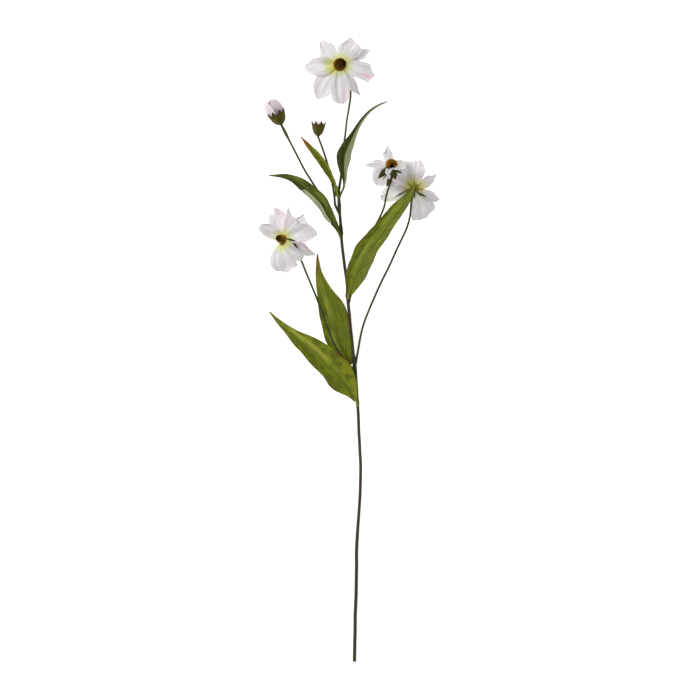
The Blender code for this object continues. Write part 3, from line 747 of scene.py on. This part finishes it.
# For each flower, its petals in order. What one doesn't give is as build_petal has it.
PETAL_LOOKS = {"top_flower": [
    dict(tip=[0.4, 0.24, 0.06, 0, 0.06, 0.12, 0.2], left=[0.21, 0.45, 0.6, 0.68, 0.58, 0.35],
         right=[0.21, 0.75, 1.05, 1.15, 1.2, 0.9], pleat=1),
    dict(tip=[0.3, 0.2, 0.1, 0, -0.04, 0.05, 0.2], flush=24, flushed=1.1),
    dict(tip=[0.2, 0.16, 0.1, 0.02, -0.08, -0.2, -0.31], left=[0.21, 0.6, 0.75, 0.8, 0.8, 0.75],
         right=[0.21, 0.6, 0.8, 0.86, 0.98, 1.19],
         blush=[(0.6, 0.5, 0.09, 0.6), (0.75, 0.42, 0.16, 0.8), (0.92, 0.6, 0.14, 0.7)]),
    dict(tip=[0.16, 0.1, 0.02, 0, 0.06, 0.14, 0.24], left=[0.21, 0.45, 0.62, 0.6, 0.45, 0.2],
         right=[0.21, 0.66, 0.95, 0.95, 0.8, 0.5]),
    dict(tip=[0.04, 0, 0.02, 0, 0.02, 0, 0.06], right=[0.21, 0.75, 1.1, 1.2, 1.15, 0.9],
         blush=[(0.85, -0.55, 0.28, 0.4)], pleat=0.9),
    dict(right=[0.21, 0.8, 1.2, 1.3, 1.15, 0.7], flush=23, flushed=1.1),
    dict(flush=25, flushed=1.1),
    dict(tip=[0.16, 0.05, -0.02, 0, 0.03, 0.1, 0.2], left=[0.21, 1, 1.2, 1.05, 0.75, 0.45],
         right=[0.21, 0.32, 0.5, 0.55, 0.5, 0.3]),
], "left_flower": [
    dict(tip=[0.1, 0.02, 0, 0.02, 0.04, 0.08, 0.16]),
    dict(tip=[0.12, 0.14, 0.08, -0.04, -0.1, 0.04, 0.2], right=[0.21, 0.6, 0.9, 1.05, 1, 0.7],
         blush=[(0.75, 0.75, 0.25, 0.5), (0.95, 0.35, 0.2, 0.3)]),
    dict(tip=[0.1, 0.04, -0.02, 0.06, 0.16, 0.28, 0.4], left=[0.21, 0.45, 0.45, 0.4, 0.35, 0.2],
         right=[0.21, 0.95, 1.5, 1.8, 1.6, 0.9], blush=[(0.6, 0.6, 0.5, 0.15)]),
    dict(tip=[0.24, 0.06, -0.02, 0.04, 0.06, 0.06, 0.1], left=[0.21, 0.7, 1, 1.05, 0.9, 0.4],
         right=[0.21, 0.8, 1.05, 1.2, 1.45, 1.4]),
    dict(tip=[0.14, 0.05, 0.01, 0, 0, 0.03, 0.12], left=[0.21, 0.66, 0.95, 1.05, 1.05, 0.85],
         right=[0.21, 0.66, 1, 1.1, 1.05, 0.85]),
    dict(tip=[0.3, 0.15, 0.05, 0, 0, 0.06, 0.12], blush=[(0.6, -0.6, 0.3, 0.4), (0.85, -0.3, 0.25, 0.3)]),
    dict(tip=SQUARE),
    dict(tip=[-0.2, -0.2, -0.12, -0.03, 0.02, 0.03, 0.08], left=[0.21, 0.7, 1.1, 1.3, 1.35, 1.15],
         right=[0.21, 0.45, 0.66, 0.78, 0.76, 0.55], pleat=0.6),
], "upper_right_flower": [
    dict(flushed=0.1, ruffle=0.5),
    dict(tip=SQUARE, left=[0.4, 0.95, 1.5, 2.1, 2.3, 2.1], right=[0.3, 0.8, 1.05, 1.05, 0.9, 0.6], flushed=0),
    dict(tip=POINTED, flushed=0.1),
    dict(tip=[0.3, 0.18, 0.05, -0.08, 0.05, 0.18, 0.3], left=[0.21, 0.8, 1.2, 1.3, 1.3, 1],
         right=[0.21, 0.6, 0.75, 0.78, 0.78, 0.6], flushed=0.1),
    dict(tip=SQUARE, left=[0.4, 0.9, 1.2, 1.3, 1.2, 1], flushed=0.1),
    dict(tip=SQUARE, flushed=0.2),
    dict(flushed=0.2),
    dict(tip=[0, -0.2, -0.28, -0.3, -0.28, -0.2, 0], left=[0.9, 1.3, 1.45, 1.45, 1.3, 0.9],
         right=[0.9, 1.3, 1.45, 1.45, 1.3, 0.9], flushed=0, pleat=0.45, ruffle=0.3),
], "right_flower": [
    dict(tip=[0.1, 0, 0.03, 0.04, 0, 0, 0.1], pleat=1.1, flush=16, flushed=1),
    dict(right=[0.3, 1, 1.5, 1.7, 1.6, 1], flush=20, flushed=1),
    dict(tip=[-0.25, -0.45, -0.6, -0.65, -0.6, -0.45, -0.25], left=[0.3, 1, 1.5, 1.8, 1.9, 1.6],
         right=[0.3, 1, 1.4, 1.5, 1.4, 1], blush=[(0.5, 0, 0.4, 0.25)]),
    dict(tip=SQUARE, left=[0.21, 0.9, 1.4, 1.5, 1.3, 0.8], flush=17),
    dict(flush=21, flushed=1),
    dict(tip=[0.02, 0, 0, 0.03, 0.05, 0.1, 0.16], left=[0.21, 0.5, 0.7, 0.8, 0.85, 0.7],
         right=[0.21, 0.7, 1, 1.15, 1.15, 0.8], flushed=0.3, pleat=1),
    dict(flushed=0.5, blush=[(0.3, 0.3, 0.25, 0.25)]),
    dict(tip=POINTED, left=[0.3, 1, 1.3, 1.1, 0.8, 0.4], flush=20),
]}
places = {flower: flower_place(flower) for flower in PETAL_LOOKS}


def build_petals(flower, seed):
    centre, axis, _ = places[flower]
    for k, look in enumerate(PETAL_LOOKS[flower], 1):
        node = f"{flower}_petal_{k}"
        grid = sheet_grid(node, PETAL_CELLS, PETAL_THICK, [centre], axis)
        build_petal(node, grid, centre, seed + 0.61 * k, **look)


# ---- discs

def turn_to(axis):
    """A rotation that takes +Z to an axis."""
    return Vector(axis).to_track_quat("Z", "Y").to_matrix()


def about(centre, axis, along, angle, radius, height):
    """Points about an axis. The first and the last along the outline are on the axis."""
    radius = np.where((along == 0) | (along == 1), 0, radius)
    local = np.stack([radius * np.cos(angle), radius * np.sin(angle), height], axis=1)
    return np.array(centre[:]) + local @ np.array(turn_to(axis)).T


def turned(name, centre, axis, outline, sides, fluted=None):
    """A round solid about an axis, from pairs of radius and height. fluted gives the share of its radius to keep."""
    radii, heights = np.array(outline).T

    def place(along, angle):
        radius = np.maximum(cubic(radii, along), 0) * (fluted(along, angle) if fluted else 1)
        return about(centre, axis, along, angle, radius, cubic(heights, along))

    return wrapped(name, sides, 4 * (len(outline) - 1), place)


def floret_shape():
    """One tubular floret: a five-sided tube with an open flared mouth and a dark style in it."""
    bpy.ops.mesh.primitive_cylinder_add(vertices=5, radius=0.5, depth=1.0, location=(0, 0, 0.5), end_fill_type="NGON")
    piece = bpy.context.active_object
    bpy.ops.object.mode_set(mode="EDIT")
    mesh = bmesh.from_edit_mesh(piece.data)
    for face in mesh.faces:
        face.select_set(face.normal.z > 0.9)
    bmesh.update_edit_mesh(piece.data)
    bpy.ops.mesh.extrude_region_move(TRANSFORM_OT_translate={"value": (0, 0, 0.35)})
    bpy.ops.transform.resize(value=(1.5, 1.5, 1.0))
    for inwards, upwards in ((0.22, -0.3), (0.2, 0.7)):
        bpy.ops.mesh.inset(thickness=inwards)
        bpy.ops.transform.translate(value=(0, 0, upwards))
    bpy.ops.object.mode_set(mode="OBJECT")
    bpy.ops.object.transform_apply(location=True)
    return piece


FLORETS = 150
GOLDEN_ANGLE = radians(137.508)
# For each flower, the middle of its near-black florets, in mm from its centre, and how far they reach, then how wide
# its dome is as a share of the CAD disc, and how golden.
DISCS = {
    "top_flower": ((1.2, 2.2, 6), 5.8, 0.9, 0.45),
    "left_flower": ((-6.8, 3.8, 7), 4.9, 0.86, 1),
    "upper_right_flower": ((0.5, -0.8, 6.6), 3.2, 0.9, 1),
    "right_flower": ((0, 1, -6.5), 4, 0.75, 1),
}


def build_disc(flower, seed):
    """A dome of florets set in spirals, near-black round one place."""
    dark, dark_reach, slim, gold = DISCS[flower]
    centre, axis, outline = places[flower]
    node = flower + "_disc"
    widest = max(r for r, _ in outline) * slim
    top = outline[-1][1]
    dome = [(0, outline[0][1])] + [(r * slim * 0.88, h * 0.93) for r, h in outline] + [(0, top * 0.95)]
    base, _, _ = turned(node + "_fine", centre, axis, dome, 32)
    paint(base, ripe=0.1, pollen=0.0)
    shape = floret_shape()
    tall_share = points_of(shape)[:, 2] / points_of(shape)[:, 2].max()
    spin = turn_to(axis)
    parts = [closed(base)]
    low = 0.7 * MM + (top - 0.7 * MM) * 0.12
    past_rim = radians(108)
    for k in range(FLORETS):
        polar = ((k + 0.5) / FLORETS) ** 0.5
        angle = k * GOLDEN_ANGLE
        # The dome runs from its crown down to the rim and a little way under its widest ring.
        bend = polar * past_rim
        radius = widest * 0.88 * sin(bend)
        height = low + (top - low) * 0.93 * cos(bend)
        local = Vector((radius * cos(angle), radius * sin(angle), height))
        out = Vector((sin(bend) * cos(angle), sin(bend) * sin(angle), cos(bend)))
        wild = noise.noise(Vector((k * 0.71, seed, 1.0)))
        size = (0.6 + 0.36 * polar) * (1 + 0.25 * wild) * MM
        tall = (0.8 + 0.7 * polar) * (1 + 0.6 * wild) * MM
        tilt = (spin @ out).to_track_quat("Z", "Y").to_matrix().to_4x4()
        copy = shape.copy()
        copy.data = shape.data.copy()
        bpy.context.collection.objects.link(copy)
        scale = Matrix.Diagonal((size, size, tall, 1.0))
        spun = Matrix.Rotation(k * 1.9, 4, "Z")
        copy.data.transform(Matrix.Translation(centre + spin @ local) @ tilt @ spun @ scale)
        gap = (spin @ local - Vector(dark) * MM).length / (dark_reach * MM) + 0.3 * wild
        light = gold * float(step(np.array(gap), 0.75, 1.15))
        paint(copy, ripe=np.clip(light * (0.95 + 0.5 * wild), 0, 1) * (0.55 + 0.45 * tall_share),
              pollen=light * (0.6 + 0.6 * wild) * step(tall_share, 0.5, 0.9))
        parts.append(copy)
    bpy.data.objects.remove(shape)
    finished(joined(parts), node, FLORET)


# ---- calyxes

def sepal(name, root, tip, axis, width, droop, pale, lance):
    """A lance-shaped sepal from its root to its tip, keeled along its middle and widest at its lance share."""
    piece, over, grown = flat_grid(name, 8, 22)
    side = 2 * over - 1
    root, tip, axis = np.array(root), np.array(tip), np.array(axis)
    reach = tip - root
    out = unit(reach)
    cross = unit(np.cross(axis, out))
    up = np.cross(out, cross)
    past = np.clip((grown - lance) / (1 - lance), 0, 1)
    half = width / 2 * np.where(grown < lance, 0.5 + 0.5 * step(grown, 0, lance), np.maximum(1 - past ** 1.7, 0.015))
    rise = droop * np.sin(pi * grown) - 0.3 * side ** 2 * half
    place_points(piece, root + reach * grown[:, None] + cross * (side * half)[:, None] + up * rise[:, None])
    paint(piece, tip=step(grown, 0.75, 1.0) * 0.8, pale=pale)
    thickened(piece, SEPAL_SKIN, 0)
    return piece


# For each flower, its sepals' width in mm, where they are widest, how pale the yellow-green inner bracts make its cup,
# and the sepals that hang away from the rest: each one's root and tip, in mm from the centre, and its width.
CALYXES = {
    "top_flower": (3, 0.35, 0.2, []),
    "left_flower": (2.6, 0.35, 0.2, [
        ((4.5, 1.9, 6), (16.8, -1.4, 17), 2.6), ((12.2, -1.8, 10.5), (19.4, -11, 11.5), 2.6)]),
    "upper_right_flower": (2.6, 0.4, 0.1, [
        ((-3.2, -1.6, 6), (-17.6, -17.2, 6), 7.4), ((2.4, -6, 16), (-6.6, -28, 4), 6.4),
        ((1.6, -6, 15.5), (4.8, -18.6, 9), 5.6), ((4, -6, 2), (13.6, -10.2, 5), 3)]),
    "right_flower": (1.9, 0.3, 0.9, [
        ((-8, -1.5, 2), (-25.5, -10.4, 1.5), 1.9), ((3.4, -4.6, 2.5), (15.6, -10.4, 1.5), 1.9)]),
}
SEPALS = 8
# Where a sepal leaves its cup: out from the axis, and down from the flower's centre.
ROOT_OUT, ROOT_DOWN = 4.3 * MM, 2.7 * MM


def build_calyx(flower):
    """A ribbed cup with its sepals."""
    sepal_width, lance, pale, loose = CALYXES[flower]
    node = flower + "_calyx"
    centre, axis, _ = places[flower]
    rings = ring_points(node, centre - axis * 12 * MM)
    below = profile(rings[:3], centre, axis)
    above = [(5.0 * MM, -3.0 * MM), (4.4 * MM, -1.9 * MM), (0.0, -1.9 * MM)]
    outline = [(0.0, below[0][1] - 0.6 * MM), *below, *above]
    cup, _, along = turned(node + "_fine", centre, axis, outline, 40,
                           lambda along, angle: 1 + 0.04 * np.cos(SEPALS * angle))
    paint(cup, pale=pale * step(along, 0.2, 0.7), tip=0.0)
    parts = [closed(cup)]
    # Each sepal's tip is the farthest point of the outer rings in its direction.
    tips = []
    for p in (p for ring in rings[3:] for p in ring):
        out = p - centre - axis * (p - centre).dot(axis)
        tips.append((out.length, out.normalized(), p))
    kept = []
    for reach, out, p in sorted(tips, key=lambda tip: -tip[0]):
        if len(kept) < SEPALS and reach > 5.3 * MM and all(out.dot(other) < 0.93 for other, _ in kept):
            kept.append((out, p))
    for k, (out, p) in enumerate(kept):
        root = centre + out * ROOT_OUT - axis * ROOT_DOWN
        shown = 0.9 * pale if out.y > 0 else 0.1
        parts.append(sepal(f"{node}_sepal_{k}", root, p, axis, sepal_width * MM, -0.5 * MM, shown, lance))
    for k, (root, tip, width) in enumerate(loose):
        parts.append(sepal(f"{node}_loose_{k}", centre + Vector(root) * MM, centre + Vector(tip) * MM,
                           Vector((0, 0, 1)), width * MM, 1.2 * MM, 0.0, 0.5))
    finished(joined(parts), node, CALYX)


# ---- buds

def bud_place(node):
    """A bud cup's centre, axis, and its rings from the stem end."""
    stem_end = box_centre(node.replace("_calyx", "_stem"))
    rings = ring_points(node, stem_end)
    start = centre_of(rings[0])
    axis = (centre_of(rings[3]) - start).normalized()
    return start, axis, rings


def farthest_out(rings, start, axis):
    """How far the farthest point of some rings is from an axis."""
    return max((p - start - axis * (p - start).dot(axis)).length for ring in rings for p in ring)


CUP_TEETH = 8
# A cup's outside as radius and height, each a share of what it has at its rim.
CUP_OUTSIDE = np.array([(0, -0.3), (2.0, -0.1), (3.2, 0.6), (5.6, 1.8), (8.0, 4.4), (9.7, 7.6), (10.4, 9.6)])


def build_cup(node):
    """A ribbed green cup with pointed, brown-tipped teeth. Its skin runs up the outside, over the rim and down in."""
    start, axis, rings = bud_place(node)
    radius = farthest_out(rings, start, axis)
    heights = [(p - start).dot(axis) for p in rings[4]]
    rim, peak = min(heights), max(heights)
    local = turn_to(axis).inverted() @ (rings[4][heights.index(peak)] - start)
    turn_first = np.arctan2(local.y, local.x)
    across, up = (CUP_OUTSIDE / CUP_OUTSIDE[-1]).T * [[radius], [rim]]

    def teeth(angle):
        over = np.cos(CUP_TEETH * (angle - turn_first))
        return over, (0.5 + 0.5 * over) ** 1.6

    def place(along, angle):
        over, point = teeth(angle)
        out = np.clip(along / 0.7, 0, 1)
        back = np.clip((along - 0.76) / 0.24, 0, 1)
        r = cubic(across, out)
        h = cubic(up, out) + (peak - rim) * point * step(out, 0.55, 1.0) * out
        r = r * (1 + 0.035 * over * step(out, 0.2, 0.6)) + 0.35 * MM * step(out, 0.9, 1.0) * point
        # Past the lip the skin turns back down inside, and narrows to a point.
        lip = step(along, 0.7, 0.76)
        r = r * (1 - lip * (0.07 + 0.75 * back ** 1.6))
        h = h * (1 - lip * 0.74 * back)
        return about(start, axis, along, angle, r, h)

    piece, turn, along = wrapped(node + "_fine", 64, 44, place)
    _, point = teeth(2 * pi * turn)
    rim_share = step(along, 0.56, 0.68) * (1 - step(along, 0.8, 0.9))
    paint(piece, tip=np.clip(rim_share * (0.25 + 0.75 * point), 0, 1),
          pale=0.12 * step(along, 0.1, 0.5) * (1 - rim_share) + 0.5 * (along > 0.76))
    finished(closed(piece), node, CALYX)


BUD_WIDTHS = [0.7, 1.1, 1.25, 1.3, 1.15, 0.75]
# The half open bud's first petal leans out to the right, and its second one is narrow with a slanting tip.
BUD_LOOKS = {
    1: dict(right=[0.8, 1.35, 1.8, 2.1, 2, 1.5], flare=3.2 * MM),
    2: dict(left=[0.7, 1, 0.85, 0.7, 0.55, 0.3], tip=[0.34, 0.22, 0.06, -0.02, -0.02, 0.03, 0.12]),
}


def folded_petals(name, start, axis, outline):
    """Petals still furled into one cone with five twisted folds, from pairs of radius and height."""
    piece, _, _ = turned(name, start, axis, outline, 48,
                         lambda along, angle: 1 + 0.1 * np.cos(5 * angle + 6 * along) * step(along, 0.2, 0.7))
    paint(piece, flush=0.25, blush=0.06)
    return closed(piece)


def build_buds():
    build_cup("large_bud_calyx")
    build_cup("small_bud_calyx")
    start, axis, rings = bud_place("large_bud_calyx")
    wide = farthest_out(rings[4:5], start, axis)
    cad = [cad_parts[f"large_bud_petal_{k}"].data for k in range(1, 5)]
    tall = max((v.co - start).dot(axis) for mesh in cad for v in mesh.vertices)
    inner = [(0.0, 0.12), (0.4, 0.16), (0.62, 0.3), (0.7, 0.5), (0.6, 0.66), (0.36, 0.78), (0.0, 0.82)]
    core = folded_petals("large_bud_core", start, axis, [(r * wide, h * tall) for r, h in inner])
    for k in range(1, 5):
        node = f"large_bud_petal_{k}"
        lean = box_centre(node) - start
        facing = (lean - axis * lean.dot(axis)).normalized()
        grid = sheet_grid(node, BUD_PETAL_CELLS, PETAL_THICK, [start], facing)
        look = dict(left=BUD_WIDTHS, right=BUD_WIDTHS) | BUD_LOOKS.get(k, {})
        petal = build_petal(node, grid, start, 60 + k, pleat=0.35, ruffle=0.25, flush=12.0,
                            blush=[(0.6, 0.0, 0.8, 0.18)], **look)
        if k == 1:
            # The furled inner petals go with the first petal.
            finished(joined([petal, core]), node, PETAL)
    start, axis, _ = bud_place("small_bud_calyx")
    rings = ring_points("small_bud_petals", start)
    outline = profile(rings, start, axis)
    outline = [(0.0, outline[0][1]), *outline, (0.0, outline[-1][1] + 0.4 * MM)]
    piece = folded_petals("small_bud_petals_fine", start, axis, outline)
    finished(piece, "small_bud_petals", PETAL)


# ---- table, light and camera

# The view's side as a share of the spray's length, and the lens and sensor in mm.
FRAME_SHARE, LENS, SENSOR = 1.1152, 300.0, 36.0
# How far right of the spray's middle the camera is, and how high over the table the spray's middle layer is.
CAMERA_RIGHT, FOCUS_HEIGHT = 1.3 * MM, 22 * MM
KEY_PLACE, KEY_SIZE, KEY_POWER = (-1.9, 1.3, 1.6), 1.0, 33.0
TABLE_SIZE, TABLE_DROP = 30.0, 0.05 * MM


def build_stage():
    middle = (CAD_LOW + CAD_HIGH) / 2
    bpy.ops.mesh.primitive_plane_add(size=TABLE_SIZE, location=(0, 0, -TABLE_DROP))
    floor = bpy.context.active_object
    floor.name = "pale_table"
    material, _, shader = blank("backlit_white_acrylic_table")
    # Frosted white acrylic lit from below: a pale, even top with only faint shadows.
    feed(shader, {"Base Color": colour("f4f4f4"), "Roughness": 0.8, "Emission Color": colour("ffffff"),
                  "Emission Strength": 0.7})
    floor.data.materials.append(material)

    scene = bpy.context.scene
    scene.world = world = bpy.data.worlds.new("soft_studio")
    world.use_nodes = True
    feed(world.node_tree.nodes["Background"], {"Color": colour("ffffff"), "Strength": 0.48})
    # Plain tones, so that the white table stays white and the colours keep their own hue.
    scene.view_settings.view_transform = "Standard"

    bpy.ops.object.light_add(type="AREA", location=KEY_PLACE)
    lamp = bpy.context.active_object
    lamp.name = "soft_key"
    lamp.data.size = KEY_SIZE
    lamp.data.energy = KEY_POWER
    lamp.rotation_euler = (-Vector(KEY_PLACE)).to_track_quat("-Z", "Y").to_euler()

    distance = (CAD_HIGH.y - CAD_LOW.y) * FRAME_SHARE * LENS / SENSOR
    bpy.ops.object.camera_add(location=(middle.x + CAMERA_RIGHT, middle.y, distance + FOCUS_HEIGHT), rotation=(0, 0, 0))
    camera = bpy.context.active_object
    camera.name = "camera"
    camera.data.lens = LENS
    camera.data.sensor_width = SENSOR
    scene.camera = camera


build_stems()
for k, node in enumerate(LEAF_LOOKS):
    build_leaf(node, 20 + 3 * k, **LEAF_LOOKS[node])
for k, flower in enumerate(PETAL_LOOKS):
    build_petals(flower, 40 + 9 * k)
    build_disc(flower, k)
    build_calyx(flower)
build_buds()
build_stage()

bpy.context.view_layer.update()
